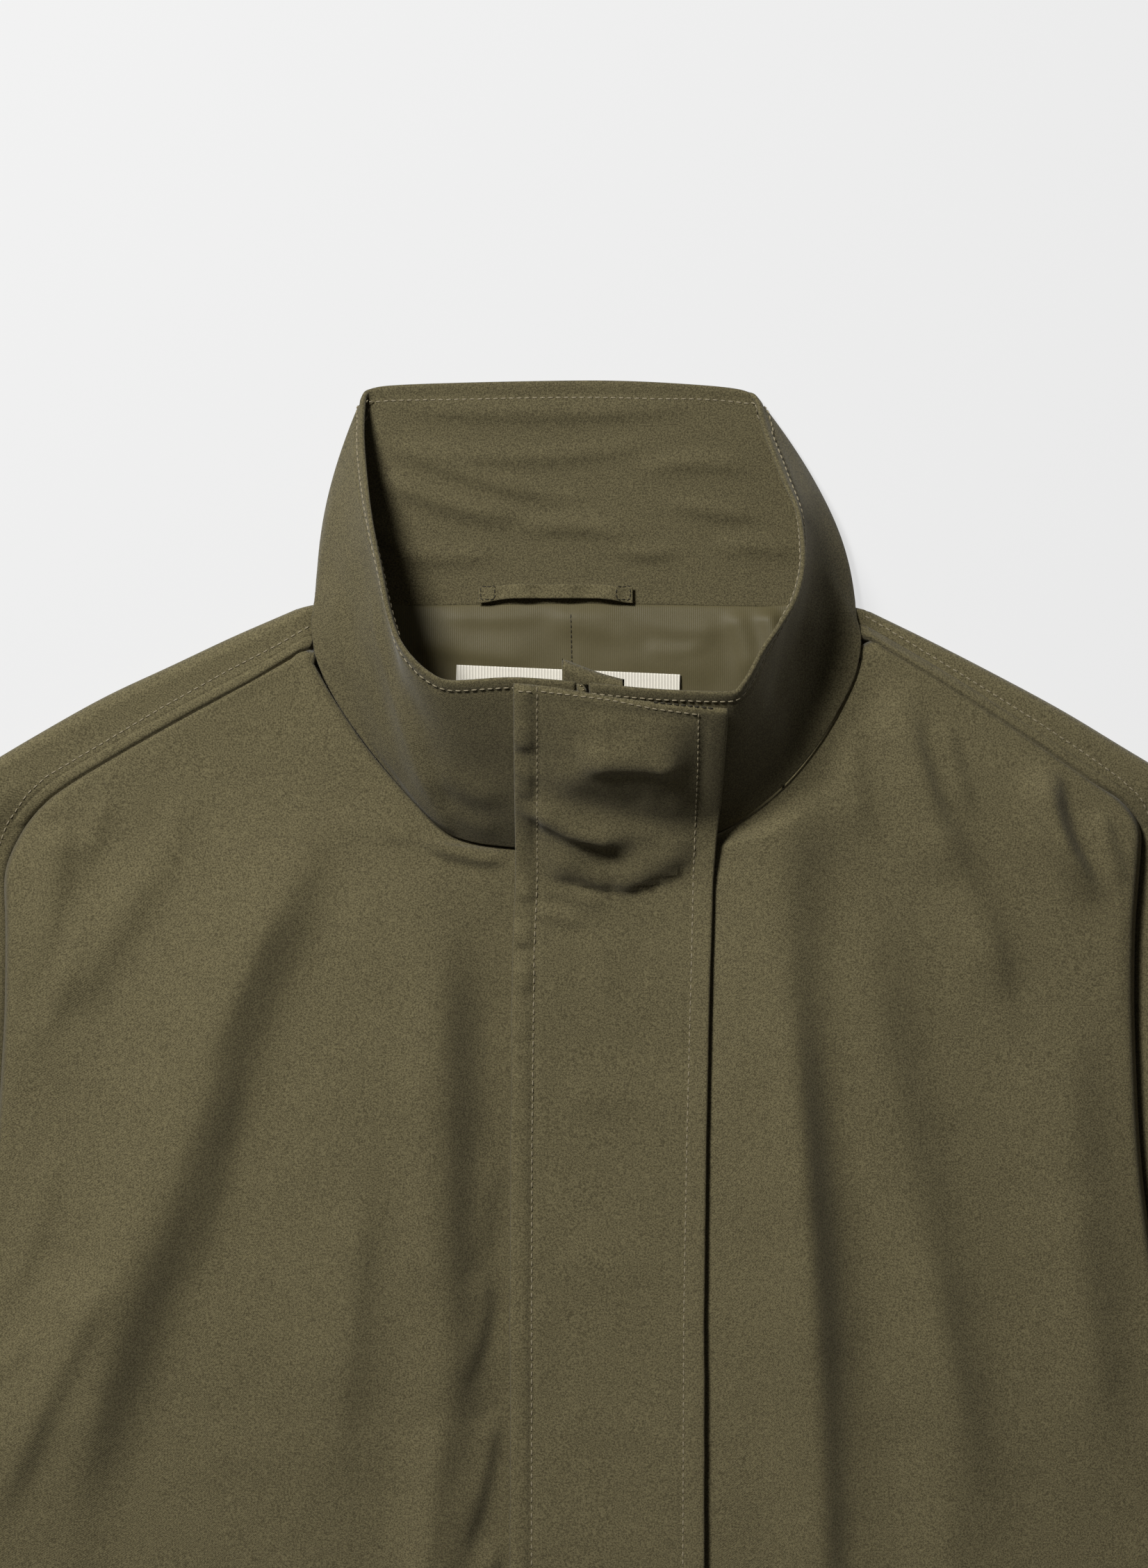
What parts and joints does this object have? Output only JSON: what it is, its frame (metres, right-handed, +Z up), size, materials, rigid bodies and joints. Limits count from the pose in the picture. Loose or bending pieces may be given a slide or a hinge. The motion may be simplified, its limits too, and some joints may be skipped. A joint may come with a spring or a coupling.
{
  "type": "jacket",
  "caption": "Olive cotton jacket laid flat on its back, with a standing collar, a covered front zip and saddle shoulders.",
  "frame": {"origin": "middle of the laid jacket's outline, on the surface it lies on", "axes": "+Z up from the surface through the front, +Y from hem to collar, +X towards the wearer's left sleeve"},
  "size_m": [1.0414, 0.8098, 0.0745],
  "materials": {
    "shell_cloth": "matt twill",
    "lining_cloth": "smooth, slightly glossy",
    "label_cloth": "ribbed satin",
    "zip_metal": "dull"
  },
  "bodies": {
    "root": {"back": "shell_cloth", "front_right": "shell_cloth", "front_left": "shell_cloth", "sleeve_right_upper": "shell_cloth", "sleeve_right_under": "shell_cloth", "sleeve_left_upper": "shell_cloth", "sleeve_left_under": "shell_cloth", "collar": "shell_cloth", "placket": "shell_cloth", "zip_guard": "shell_cloth", "zip": "zip_metal", "lining": "lining_cloth", "label": "label_cloth", "hanger_loop": "shell_cloth"}
  },
  "joints": []
}
